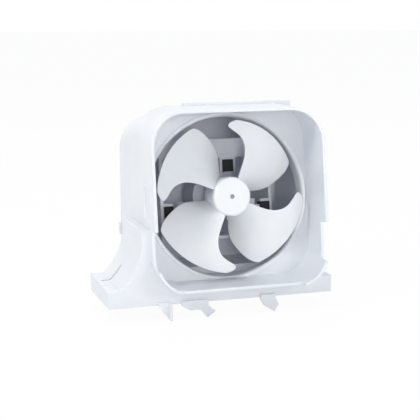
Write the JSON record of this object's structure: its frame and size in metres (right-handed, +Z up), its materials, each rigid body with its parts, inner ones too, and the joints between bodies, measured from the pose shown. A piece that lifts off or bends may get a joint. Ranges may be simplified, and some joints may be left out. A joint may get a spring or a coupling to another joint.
{
  "type": "refrigerator fan motor",
  "caption": "White plastic duct with a leaning mouth and a flared hollow foot, a swept-blade fan inside it and a small electric motor hung behind on rubber mounts.",
  "frame": {"origin": "on the underside of the duct's foot, below the fan's axis and half way along the foot's depth", "axes": "+X to the right and +Y into the duct as seen from its open mouth, +Z up; the duct's walls are upright and the mouth, the fan and the motor lean back by 7.9 degrees"},
  "size_m": [0.1651, 0.1132, 0.1475],
  "materials": {
    "housing_plastic": "glossy",
    "cover_plastic": "satin",
    "fan_plastic": "satin",
    "rubber": "matte",
    "motor_plastic": "matte",
    "shaft_steel": "satin",
    "spring_steel": "satin",
    "screw_steel": "satin",
    "bronze": "satin",
    "washer_plastic": "matte",
    "core_plastic": "matte",
    "magnet": "matte",
    "core_steel": "satin",
    "insulating_plastic": "matte",
    "copper": "satin",
    "board": "satin",
    "chip_plastic": "matte",
    "capacitor_can": "satin",
    "socket_plastic": "matte",
    "pin_tin": "satin"
  },
  "bodies": {
    "housing": {"back_cover": "cover_plastic", "capacitor": "capacitor_can", "case_screw_high": "screw_steel", "case_screw_low": "screw_steel", "circuit_board": "board", "coil_frame": "insulating_plastic", "connector_pin_left": "pin_tin", "connector_pin_middle": "pin_tin", "connector_pin_right": "pin_tin", "connector_socket": "socket_plastic", "cover_screw_left_high": "screw_steel", "cover_screw_left_low": "screw_steel", "cover_screw_right_high": "screw_steel", "cover_screw_right_low": "screw_steel", "driver_chip": "chip_plastic", "front_bearing": "bronze", "hall_sensor": "chip_plastic", "motor_front_case": "motor_plastic", "motor_rear_case": "motor_plastic", "rear_bearing": "bronze", "rubber_mount_left": "rubber", "rubber_mount_right": "rubber", "rubber_mount_top": "rubber", "shroud": "housing_plastic", "stator_core": "core_steel", "winding_1": "copper", "winding_2": "copper", "winding_3": "copper", "winding_4": "copper"},
    "rotor": {"fan": "fan_plastic", "front_washer": "washer_plastic", "hub_clip": "spring_steel", "rear_washer": "washer_plastic", "rotor_core": "core_plastic", "rotor_magnet": "magnet", "shaft": "shaft_steel"}
  },
  "joints": [
    {"name": "fan_spin", "type": "hinge", "parent": "housing", "child": "rotor", "pos_m": [0, -0.0403, 0.0748], "axis": [0, -0.9905, 0.1374], "continuous": true}
  ]
}
